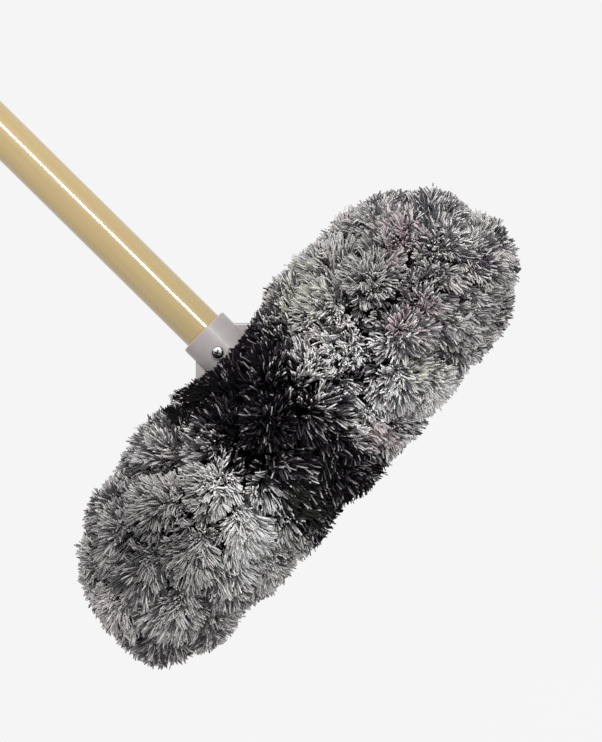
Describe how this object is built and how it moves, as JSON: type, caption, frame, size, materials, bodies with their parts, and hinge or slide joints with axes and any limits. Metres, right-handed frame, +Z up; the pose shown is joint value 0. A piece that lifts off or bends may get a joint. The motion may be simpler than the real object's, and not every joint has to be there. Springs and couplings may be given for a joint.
{
  "type": "swivel dusting mop",
  "caption": "Long round head of cut yarn pile on a flat frame, joined by a swivel socket to a slim wooden pole with a hanging cap.",
  "frame": {"origin": "middle of the hole in the hanging cap, at the upper end of the pole", "axes": "+Z up along the pole, +X along the head, -Y towards the side of the socket with the screw"},
  "size_m": [0.3136, 0.14, 1.3498],
  "materials": {
    "pole_wood": "gloss",
    "socket_plastic": "satin",
    "cap_plastic": "satin",
    "screw_steel": "polished",
    "bracket_steel": "satin",
    "plate_plastic": "matte",
    "washer_nylon": "satin",
    "cover_canvas": "matte",
    "strap_webbing": "matte",
    "marl_yarn": "matte",
    "dark_yarn": "matte"
  },
  "bodies": {
    "pole": {"handle_pole": "pole_wood", "hang_cap": "cap_plastic", "handle_socket": "socket_plastic", "handle_screw": "screw_steel"},
    "head": {"pivot_axle": "bracket_steel", "pivot_washer_left": "washer_nylon", "pivot_washer_right": "washer_nylon", "axle_push_nut_left": "bracket_steel", "axle_push_nut_right": "bracket_steel", "pivot_bracket": "bracket_steel", "bracket_rivet_1": "bracket_steel", "bracket_rivet_2": "bracket_steel", "bracket_rivet_3": "bracket_steel", "bracket_rivet_4": "bracket_steel", "frame_plate": "plate_plastic", "cover_bottom_panel": "cover_canvas", "cover_binding": "cover_canvas", "cover_top_panel_left": "cover_canvas", "cover_top_panel_right": "cover_canvas", "closure_strap_front": "strap_webbing", "closure_strap_back": "strap_webbing", "strap_snap_front_left": "screw_steel", "strap_snap_front_right": "screw_steel", "strap_snap_back_left": "screw_steel", "strap_snap_back_right": "screw_steel", "pile_bottom_left": "marl_yarn", "pile_bottom_centre": "dark_yarn", "pile_bottom_right": "marl_yarn", "pile_top_left": "marl_yarn", "pile_top_front": "dark_yarn", "pile_top_back": "dark_yarn", "pile_top_right": "marl_yarn"}
  },
  "joints": [
    {"name": "head_tilt", "type": "hinge", "parent": "pole", "child": "head", "pos_m": [0, 0, -1.2538], "axis": [1, 0, 0], "range_deg": [-50, 50]}
  ]
}
